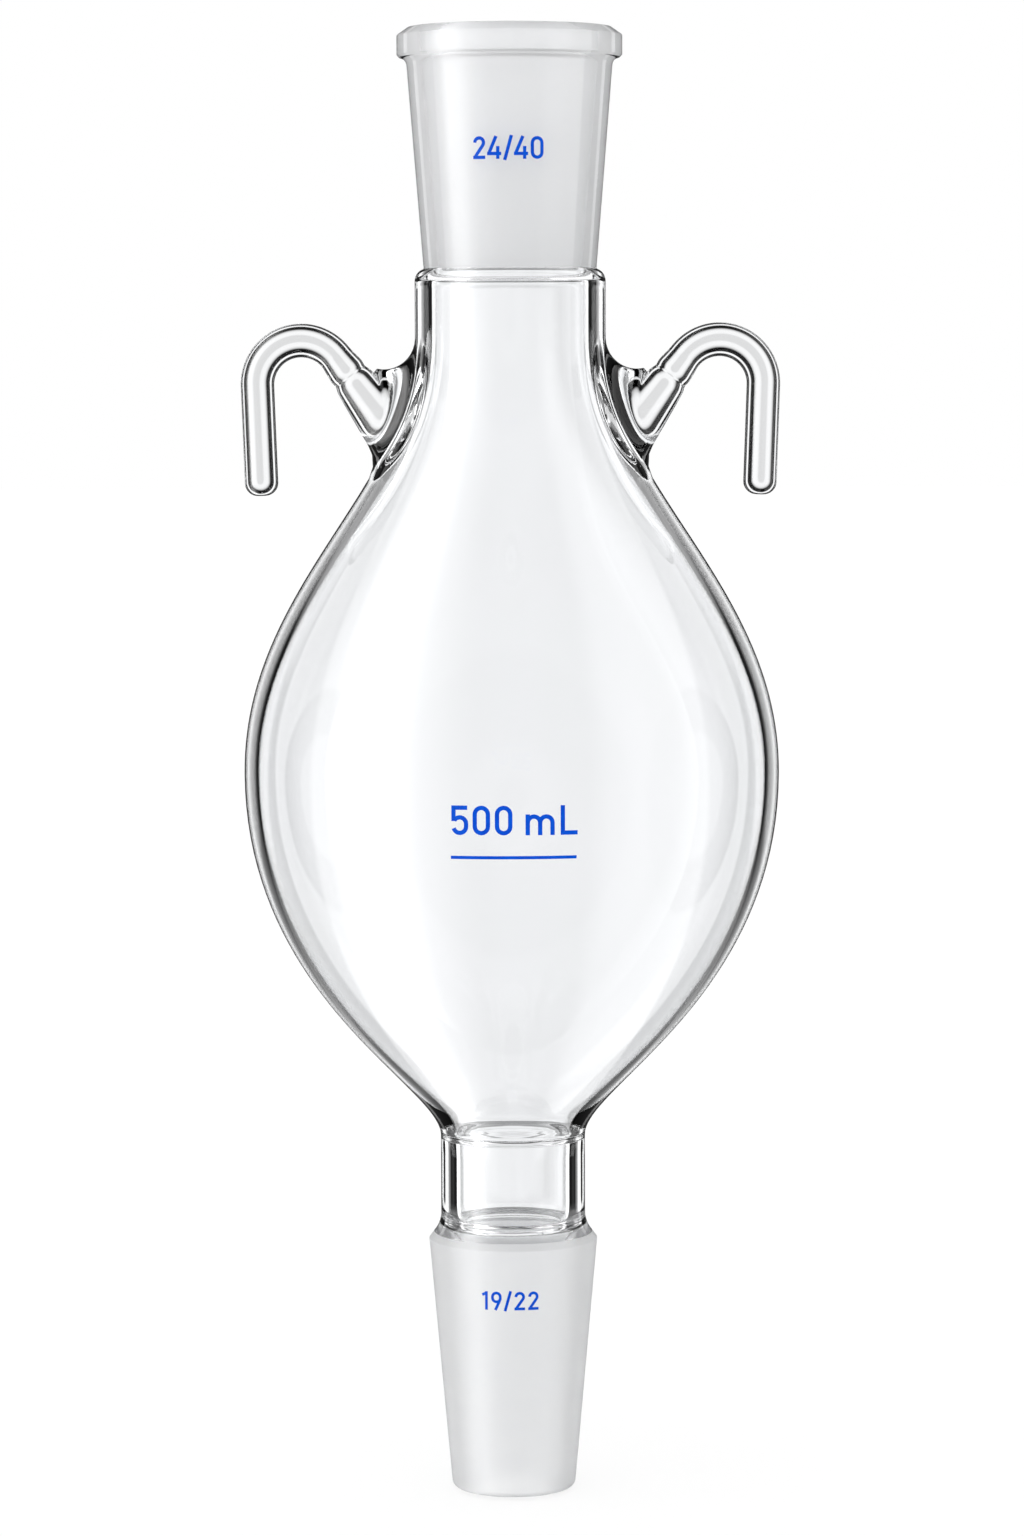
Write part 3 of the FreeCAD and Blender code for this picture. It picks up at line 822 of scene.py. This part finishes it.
# each figure has its width and its strokes
FIGURES = {
    "0": (0.59, nought(0.59)),
    "1": (0.31, [[(0.235, 0), (0.235, 1)], [(0.0, 0.80), (0.235, 0.915)]]),
    "2": (
        0.56,
        [[*bend(0.28, 0.72, 0.206, 180, -38), (0.085, INSET + 0.01)], [(0.0, INSET), (0.56, INSET)]],
    ),
    "4": (0.63, [[(0.40, 1.0), (0.07, 0.225)], [(0.0, 0.236), (0.63, 0.236)], [(0.478, 0.56), (0.478, 0)]]),
    "5": (
        0.58,
        [
            [(0.54, 1 - INSET), (INSET, 1 - INSET), (INSET, 0.47)],
            [*bend(0.285, 0.385, 0.215, 150, 0), *bend(0.285, 0.29, 0.215, 0, -165)],
        ],
    ),
    "9": (
        0.58,
        [
            [*bend(0.29, 0.715, 0.212, 0, 180), *bend(0.29, 0.66, 0.212, 180, 340)],
            [(0.502, 0.72), (0.495, 0.60), (0.44, 0.46), (0.235, 0)],
        ],
    ),
    "/": (0.44, [[(0.07, -0.05), (0.37, 1.04)]]),
    "m": (0.98, [[(INSET, 0), (INSET, SMALL_LETTER)], arch(INSET, 0.49), arch(0.49, 0.905)]),
    "L": (0.58, [[(INSET, 1), (INSET, INSET), (0.58, INSET)]]),
    " ": (0.18, []),
}
print(len(FIGURES), "figures drawn")

# %% [markdown]
# A screen lays the enamel down in one even film. Here each ribbon is a thin closed strip that
# starts just under the skin of the glass and ends just above it. Where strokes cross, each lies a
# micron higher than the last, so that no two faces fall on the same place.

# %% Ribbons wrapped on the glass
ENAMEL_LIFT, ENAMEL_SINK, CROSSING_LIFT = 0.012, 0.03, 0.001
RIBBON_PITCH = 0.25
SHARPEST_MITRE = 0.6
outer_heights, outer_radii = outside_points[2:-4, 1], outside_points[2:-4, 0]


def on_glass(around, height, lift):
    """A place on the front of the flask, by its arc from the middle and its height."""
    radius = np.interp(height, outer_heights, outer_radii)
    turn = around / radius
    return ((radius + lift) * math.sin(turn), -(radius + lift) * math.cos(turn), height)


def resampled(line, pitch):
    """The same line with points no further apart than a pitch."""
    points = [np.array(line[0], float)]
    for end in line[1:]:
        start, end = points[-1], np.array(end, float)
        steps = max(1, math.ceil(float(np.linalg.norm(end - start)) / pitch))
        points += [start + (end - start) * step / steps for step in range(1, steps + 1)]
    return np.array(points)


def ribbon(line, width, lift, closed):
    """Corner points and faces of a flat ribbon along a middle line."""
    line = resampled(line, RIBBON_PITCH)
    if closed:
        line = line[:-1]
    count = len(line)
    before, after = np.roll(line, 1, 0), np.roll(line, -1, 0)
    if not closed:
        before[0], after[-1] = 2 * line[0] - line[1], 2 * line[-1] - line[-2]
    ways = [(line - before), (after - line)]
    ways = [way / np.linalg.norm(way, axis=1)[:, None] for way in ways]
    sides = [np.stack([-way[:, 1], way[:, 0]], axis=1) for way in ways]
    middle = sides[0] + sides[1]
    middle = middle / np.maximum((middle * sides[0]).sum(1), SHARPEST_MITRE)[:, None]
    corners, quads = [], []
    for place, side in zip(line, middle):
        for sign, height in ((1, lift), (-1, lift), (-1, -ENAMEL_SINK), (1, -ENAMEL_SINK)):
            corners.append(on_glass(*(place + sign * side * width / 2), height))
    for start in range(count if closed else count - 1):
        end = (start + 1) % count
        for corner in range(4):
            following = (corner + 1) % 4
            quads.append((4 * start + corner, 4 * end + corner, 4 * end + following, 4 * start + following))
    if not closed:
        quads += [(0, 1, 2, 3), (4 * count - 1, 4 * count - 2, 4 * count - 3, 4 * count - 4)]
    return corners, quads


def printed(name, ribbons):
    """One printed mark, made of its ribbons."""
    corners, quads = [], []
    for number, (line, width) in enumerate(ribbons):
        closed = np.allclose(line[0], line[-1])
        lift = ENAMEL_LIFT + CROSSING_LIFT * (number % 4)
        new_corners, new_quads = ribbon(line, width, lift, closed)
        quads += [tuple(len(corners) + corner for corner in quad) for quad in new_quads]
        corners += new_corners
    mark_mesh = bpy.data.meshes.new(name)
    mark_mesh.from_pydata([tuple(MM * value for value in corner) for corner in corners], [], quads)
    mark_mesh.materials.append(blue_enamel)
    mark = bpy.data.objects.new(name, mark_mesh)
    bpy.context.scene.collection.objects.link(mark)
    mesh = bmesh.new()
    mesh.from_mesh(mark_mesh)
    bmesh.ops.recalc_face_normals(mesh, faces=mesh.faces)
    mesh.to_mesh(mark_mesh)
    mesh.free()
    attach(mark, "root")
    print(name, len(quads), "faces")


def words(text, left, foot, cap, gaps):
    """The ribbons of a line of figures, with its gaps in cap heights."""
    ribbons, pen = [], 0.0
    for letter, gap in zip(text, gaps):
        width, strokes = FIGURES[letter]
        start = np.array([pen * cap + left, foot])
        for stroke in strokes:
            ribbons.append((np.array(stroke) * cap + start, STROKE * cap))
        pen += width + gap
    return ribbons


# %% [markdown]
# Fired enamel is an opaque glassy paint. It is a little thinner in places, so its blue isn't quite
# even, and its face has a fine orange-peel grain. Its shine is kept low, as the white studio would
# wash out the blue.

# %% Blue enamel
BLUE, DEEPER_BLUE = (0.0, 0.078, 0.57), (0.0, 0.056, 0.50)
ENAMEL_INDEX, ENAMEL_SHINE = 1.5, 0.2
THIN_WIDTH, THIN_HEIGHT = 0.0012, 0.0016
PEEL_SIZE, PEEL_DEPTH = 0.00012, 0.000006
PEEL_ROUGHNESS = {"Low": 0.12, "High": 0.22}

blue_enamel = bpy.data.materials.new("blue_enamel")
blue_enamel.use_nodes = True
wires = Wiring(blue_enamel.node_tree)
paint = wires.add("ShaderNodeBsdfPrincipled", {"IOR": ENAMEL_INDEX, "Specular IOR Level": ENAMEL_SHINE})
wires.add("ShaderNodeOutputMaterial", {"Surface": paint.outputs[0]})
thin = wires.group(drawn_waves, {"Width": THIN_WIDTH, "Height": THIN_HEIGHT}).outputs[0]
peel = wires.group(fine_grain, {"Size": PEEL_SIZE, **PEEL_ROUGHNESS}).outputs[0]
wires.feed(paint.inputs["Base Color"], tint(wires, thin, BLUE, DEEPER_BLUE))
wires.feed(paint.inputs["Roughness"], peel)
wires.feed(paint.inputs["Normal"], relief(wires, peel, PEEL_DEPTH))

# %% [markdown]
# Each mark has its left end, its foot and the height of its capitals, in millimetres. The gaps
# between its figures differ a little, as a printer sets them by eye.

# %% Print the marks
VOLUME_LEFT, VOLUME_FOOT, VOLUME_CAP = -10.27, 121.8, 5.05
VOLUME_GAPS = (0.138, 0.156, 0.12, 0.134, 0.2, 0)
UNDERLINE_LEFT, UNDERLINE_RIGHT = -10.4, 11.0
UNDERLINE_HEIGHT, UNDERLINE_WIDTH = 117.97, 0.56
SOCKET_LEFT, SOCKET_FOOT, SOCKET_CAP = -6.45, 235.95, 3.9
SOCKET_GAPS = (0.088, 0.085, 0.038, 0.122, 0)
CONE_LEFT, CONE_FOOT, CONE_CAP = -5.65, 34.4, 3.35
CONE_GAPS = (0.18, 0.1, 0.127, 0.169, 0)

printed("volume_mark", words("500 mL", VOLUME_LEFT, VOLUME_FOOT, VOLUME_CAP, VOLUME_GAPS))
underline = [(UNDERLINE_LEFT, UNDERLINE_HEIGHT), (UNDERLINE_RIGHT, UNDERLINE_HEIGHT)]
printed("volume_underline", [(underline, UNDERLINE_WIDTH)])
printed("socket_mark", words("24/40", SOCKET_LEFT, SOCKET_FOOT, SOCKET_CAP, SOCKET_GAPS))
printed("cone_mark", words("19/22", CONE_LEFT, CONE_FOOT, CONE_CAP, CONE_GAPS))

# %% [markdown]
# The flask stands on plain white paper, a hair below its tip. The camera sees the paper nearly as
# white as the backdrop, and the soft shadow of the glass stays on it.

# %% Floor
PAPER_WHITE = (0.97, 0.97, 0.97, 1)
FLOOR_GLOW = 0.8
HALF_FLOOR = 6.0
FLOOR_DROP = 0.0005

paper = bpy.data.materials.new("floor_paper")
paper.use_nodes = True
wires = Wiring(paper.node_tree)
seen = wires.add("ShaderNodeLightPath").outputs["Is Camera Ray"]
matt = wires.add("ShaderNodeBsdfDiffuse", {"Color": PAPER_WHITE})
glow = wires.add("ShaderNodeEmission", {"Color": (1, 1, 1, 1), "Strength": 1.0})
blend = {0: wires.times(seen, FLOOR_GLOW), 1: matt.outputs[0], 2: glow.outputs[0]}
wires.add("ShaderNodeOutputMaterial", {"Surface": wires.add("ShaderNodeMixShader", blend).outputs[0]})

corners = [(x * HALF_FLOOR, y * HALF_FLOOR, -FLOOR_DROP) for x, y in ((-1, -1), (1, -1), (1, 1), (-1, 1))]
floor_mesh = bpy.data.meshes.new("floor")
floor_mesh.from_pydata(corners, [], [(0, 1, 2, 3)])
floor_mesh.materials.append(paper)
floor = bpy.data.objects.new("floor", floor_mesh)
bpy.context.scene.collection.objects.link(floor)
floor.visible_glossy = False
floor.visible_transmission = False
print("floor", 2 * HALF_FLOOR, "m wide")

# %% [markdown]
# The studio is a bright field: white paper all round, with long soft boxes on each side and dark
# cards between them. Glass is drawn by what it bends and reflects, so the world gives each kind of
# ray its own view of the studio. A direction is measured by its angle from the level line through
# the flask from front to back, and from side to side.

# %% Directions in the studio
world = bpy.data.worlds.new("studio")
bpy.context.scene.world = world
world.use_nodes = True
wires = Wiring(world.node_tree)
path = wires.add("ShaderNodeLightPath").outputs
way = wires.add("ShaderNodeSeparateXYZ", {0: wires.add("ShaderNodeTexCoord").outputs["Generated"]})
east, north, up = way.outputs["X"], way.outputs["Y"], way.outputs["Z"]
IN_DEGREES = 180 / math.pi


def off_axis(level):
    """Angle from a level direction, dipped like the camera, either way along its line."""
    reach = wires.times(wires.math("ABSOLUTE", level), math.cos(CAMERA_DIP))
    toward = wires.minus(reach, wires.times(up, math.sin(CAMERA_DIP)))
    return wires.times(wires.math("ARCCOSINE", wires.math("MINIMUM", toward, 1.0)), IN_DEGREES)


def curve(value, points):
    """Brightness read from a drawn line of (value, brightness) points."""
    low, high = points[0][0], points[-1][0]
    top = max(level for _, level in points)
    scaled = wires.math("DIVIDE", wires.minus(value, low), high - low)
    kept = wires.add("ShaderNodeClamp", {"Value": scaled}).outputs[0]
    node = wires.add("ShaderNodeFloatCurve", {"Value": kept})
    line = node.mapping.curves[0]
    spots = [((place - low) / (high - low), level / top) for place, level in points]
    line.points[0].location, line.points[1].location = spots[0], spots[-1]
    for spot in spots[1:-1]:
        line.points.new(*spot)
    for point in line.points:
        point.handle_type = "VECTOR"
    node.mapping.update()
    return wires.times(node.outputs[0], top)


def mixed(first, second, share):
    """The first value where the share is zero, and the second where it is one."""
    return wires.plus(wires.times(first, wires.rest(share)), wires.times(second, share))


LEVEL_SLANT, TILTED_SLANT = 9.0, 17.0
off_view, off_side = off_axis(north), off_axis(east)
behind_glass, rising = wires.over(north, 0.0), wires.over(up, 0.0)
slant = wires.times(wires.math("ARCSINE", wires.math("ABSOLUTE", up)), IN_DEGREES)
level_ray = wires.ramp(slant, LEVEL_SLANT, TILTED_SLANT, 1.0, 0.0)
print("studio measured by angles")

# %% [markdown]
# Light that comes straight through is bent least by the hollow bulb, and up to a right angle by the
# solid rods of the hooks. The rods show the dark cards as black lines beside their bright middle.
# The steep flanks of the rings and the ledge throw it up or down, so they are drawn a little darker.

# %% Light through the rods and through the hollow bulb
ROD_LINES = [
    (0, 0.8), (7, 0.8), (10, 1.02), (16, 1.02), (20, 0.85), (23, 0.45), (25, 0.06),
    (26, 0), (37, 0), (39.5, 1.1), (47, 1.1), (49, 0), (90, 0),
]
ROD_CARD = {"low": 27, "high": 34, "soft": 1.0}
rod_field = wires.times(curve(off_view, ROD_LINES), wires.rest(wires.window(off_side, **ROD_CARD)))

HOLLOW_LINES = [
    (0, 1), (6, 1), (9, 0.82), (14, 0.82), (18, 1), (24, 1), (28, 0.45), (33, 0.45), (36, 1), (90, 1),
]
RING_SLANTS = {"low": 25.0, "high": 60.0, "soft": 4.0}
RING_SHADE = 0.35
through_bulb = mixed(1.0, curve(off_view, HOLLOW_LINES), level_ray)
hollow_field = mixed(through_bulb, RING_SHADE, wires.window(slant, **RING_SLANTS))
print("light through:", len(ROD_LINES), "points for the rods,", len(HOLLOW_LINES), "for the bulb")

# %% [markdown]
# The outside of the glass reflects the soft boxes. A reflection is found by the slope of the glass
# that would make it, which is the direction's share to the side over its share away from the camera.

# %% Light reflected by the outside
away = wires.minus(1.0, north)
across = wires.math("DIVIDE", east, away)
rise = wires.math("DIVIDE", up, away)
wide, steep = wires.math("ABSOLUTE", across), wires.math("ABSOLUTE", rise)
grazing = wires.math("SQRT", wires.plus(wires.times(across, across), wires.times(rise, rise)))

SOFT_BOXES = [
    (-1.12, 0), (-1.06, 1.4), (-0.95, 1.6), (-0.86, 3.4), (-0.78, 5.2), (-0.6, 5.2), (-0.52, 4.0),
    (-0.44, 2.4), (-0.36, 1.3), (-0.27, 0.7), (-0.2, 0.25), (-0.13, 0), (0.3, 0), (0.4, 0.7),
    (0.55, 1.0), (0.75, 1.1), (0.98, 1.5), (1.02, 1.5), (1.08, 0),
]
BOX_TOP, ABOVE_BOX = (0.85, 1.05), 0.35
BOX_END = (1.4, 2.2)
boxes = wires.times(
    curve(across, SOFT_BOXES),
    wires.ramp(rise, *BOX_TOP, 1.0, ABOVE_BOX),
    wires.ramp(steep, *BOX_END, 1.0, 0.0),
)
SIDE_STRIPS = [(1.1, 0), (1.2, 0.08), (2, 0.1), (2.15, 1.2), (2.5, 1.2), (2.65, 0), (3, 0)]
STRIP_END, PAST_STRIP = (0.5, 1.2), 0.35
strips = wires.times(curve(wide, SIDE_STRIPS), wires.ramp(steep, *STRIP_END, 1.0, PAST_STRIP))
EDGE_GLOW = [(3, 0), (3.6, 0.05), (6.4, 0.05), (8, 0)]
CARD_GLOW = 0.02
reflected = wires.plus(boxes, strips, curve(grazing, EDGE_GLOW), CARD_GLOW)
print("light reflected:", len(SOFT_BOXES), "points for the soft boxes")

# %% [markdown]
# Inside a wall, light that meets the bore at a slant is turned back by it. That gives the wall its
# dark line and the pale crescents beside it. Light that is turned back three times or more has
# curves of its own, and so has light that a sloping wall throws up or down.

# %% Light turned back inside the walls
WALL_LINES = [
    (0, 0), (6, 0), (9, 1.5), (17, 1.8), (19, 1.3), (21, 0.8), (24, 0.38), (28, 0.2), (31, 0.08), (33, 0),
    (36, 0), (38, 0.03), (42, 0.02), (46, 0), (52, 0), (54.5, 1.6), (68, 1.6), (72, 0.8), (90, 0.8),
]
WALL_CARD = {"low": 17, "high": 27, "soft": 2.0}
WALL_SLANTS = (10.5, 17.0)
RISING_WALL, FALLING_WALL = 0.42, 0.14
FRONT_GLOW, FRONT_SHARE = 0.05, 0.25
slanted_wall = wires.times(wires.ramp(slant, *WALL_SLANTS), mixed(FALLING_WALL, RISING_WALL, rising))
wall_lines = wires.math("MAXIMUM", curve(off_view, WALL_LINES), slanted_wall)
wall_back = wires.times(wall_lines, wires.rest(wires.window(off_side, **WALL_CARD)))
wall_front = wires.plus(boxes, FRONT_GLOW, wires.times(wall_back, FRONT_SHARE))

DEEP_LINES = [(0, 0.0), (6, 0.1), (10, 1.0), (14, 1.6), (22, 1.6), (26, 0.08), (90, 0.08)]
NECK_DIPS, NECK_SHADE = (-0.155, -0.125), 0.08
DEEP_SLANTS = (12.0, 20.0)
RISING_DEEP, FALLING_DEEP = 1.2, 0.3
level_deep = mixed(NECK_SHADE, curve(off_view, DEEP_LINES), wires.ramp(up, *NECK_DIPS))
slanted_deep = wires.times(wires.ramp(slant, *DEEP_SLANTS), mixed(FALLING_DEEP, RISING_DEEP, rising))
deep_field = wires.math("MAXIMUM", level_deep, slanted_deep)

ECHO_LINES = [(0, 1.7), (20, 1.7), (30, 1.0), (60, 1.2), (80, 0.9), (90, 0.5)]
ECHO_FRONT = 0.25
echo_field = mixed(ECHO_FRONT, curve(off_view, ECHO_LINES), behind_glass)
print("light turned back:", len(WALL_LINES), "points for the walls,", len(DEEP_LINES), "deep in them")

# %% [markdown]
# The Light Path node says what a ray did last. One that left the glass again has crossed two
# surfaces in a rod and four or more in the bulb, and a reflection inside adds to its glossy depth.
# A ray that frosted glass or paper has scattered sees a soft white day, brighter from the left.

# %% Sort the rays
ANY, TWICE = 0.5, 2.5
seen, bent = path["Is Camera Ray"], path["Is Transmission Ray"]
turned_back = wires.times(bent, wires.over(path["Glossy Depth"], ANY))
straight = wires.minus(bent, turned_back)
crossed_two = wires.rest(wires.over(path["Transmission Depth"], TWICE))
in_rod, in_wall = wires.times(straight, crossed_two), wires.times(turned_back, crossed_two)
in_hollow, echoed = wires.minus(straight, in_rod), wires.minus(turned_back, in_wall)
bounced = wires.times(path["Is Glossy Ray"], wires.rest(bent))
other = wires.math("MAXIMUM", wires.rest(wires.plus(seen, bent, bounced)), 0.0)

shallow_field = mixed(wall_front, wall_back, behind_glass)
wall_field = mixed(shallow_field, deep_field, wires.over(path["Glossy Depth"], TWICE))
brightness = wires.plus(
    seen,
    other,
    wires.times(in_rod, rod_field),
    wires.times(in_hollow, hollow_field),
    wires.times(in_wall, wall_field),
    wires.times(echoed, echo_field),
    wires.times(bounced, reflected),
)

DAY_LIGHT, DAY_FROM_LEFT = 1.05, 0.55
LEFTWARD, FRONTWARD = 0.6, 0.8
DAY_EDGE = -0.2
left_front = wires.plus(wires.times(east, -LEFTWARD), wires.times(north, -FRONTWARD))
soft_day = wires.ramp(left_front, DAY_EDGE, 1.0, DAY_LIGHT, DAY_LIGHT + DAY_FROM_LEFT)
brightness = mixed(brightness, soft_day, wires.over(path["Diffuse Depth"], ANY))
sky = wires.add("ShaderNodeBackground", {"Color": (1, 1, 1, 1), "Strength": brightness})
wires.add("ShaderNodeOutputWorld", {"Surface": sky.outputs[0]})
bpy.context.scene.view_settings.view_transform = "Standard"
print("rays sorted: through, turned back, echoed and reflected")
